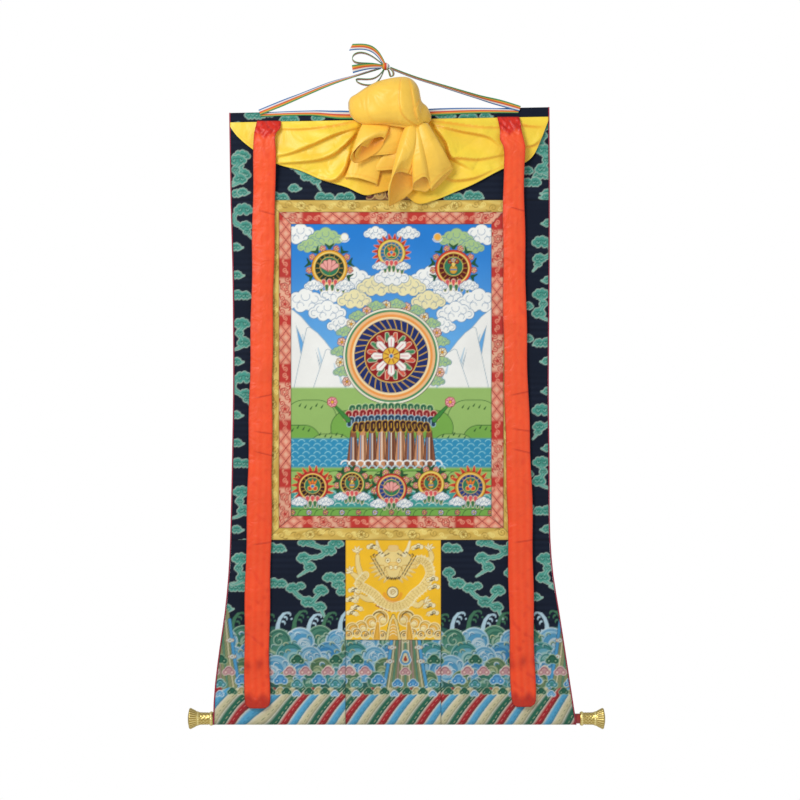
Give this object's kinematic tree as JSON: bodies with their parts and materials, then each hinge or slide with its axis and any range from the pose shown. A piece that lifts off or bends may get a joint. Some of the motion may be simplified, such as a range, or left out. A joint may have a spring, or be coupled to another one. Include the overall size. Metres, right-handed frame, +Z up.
{
  "type": "thangka scroll painting in a brocade mount on its bottom rod with brass finials",
  "caption": "Hanging scroll: a painted canvas in silk bands and a navy brocade mount, with a rolled-up yellow veil, red streamers, a striped hanging ribbon and a rod with brass ends.",
  "frame": {"origin": "the point of the wall behind the knot of the hanging ribbon, where the nail is", "axes": "+Z up, the picture side faces -Y, the wall is the plane Y = 0, +X to the viewer's right"},
  "size_m": [0.836, 0.1067, 1.3722],
  "materials": {
    "brocade": "dark navy silk brocade with woven clouds and waves, soft sheen",
    "piping": "crimson cord-like silk piping",
    "canvas": "painted cotton canvas, matte",
    "red_band": "red silk brocade with small woven figures",
    "gold_band": "gold silk brocade with faint woven figures",
    "dragon_patch": "bright gold brocade with a woven dragon",
    "crown_patch": "tan and brown brocade",
    "rod": "turned wooden rod, red lacquer",
    "finial": "embossed brass cap, polished highlights, darker recesses",
    "streamer": "vermilion silk satin",
    "veil": "thin golden yellow silk, soft sheen",
    "ribbon": "five-colour striped ribbon: blue, white, red, yellow, green"
  },
  "bodies": {
    "root": {"brocade_top": "brocade", "brocade_side_left": "brocade", "brocade_side_right": "brocade", "brocade_skirt_left": "brocade", "brocade_skirt_centre": "brocade", "brocade_skirt_right": "brocade", "edge_piping_left": "piping", "edge_piping_right": "piping", "picture_canvas": "canvas", "red_band_top": "red_band", "red_band_bottom": "red_band", "red_band_left": "red_band", "red_band_right": "red_band", "gold_band_top": "gold_band", "gold_band_bottom": "gold_band", "gold_band_left": "gold_band", "gold_band_right": "gold_band", "dragon_patch": "dragon_patch", "crown_patch": "crown_patch", "rod": "rod", "finial_left": "finial", "finial_right": "finial", "streamer_left": "streamer", "streamer_right": "streamer", "veil": "veil", "ribbon_left": "ribbon", "ribbon_right": "ribbon", "ribbon_lower": "ribbon", "ribbon_bow": "ribbon"}
  },
  "joints": []
}
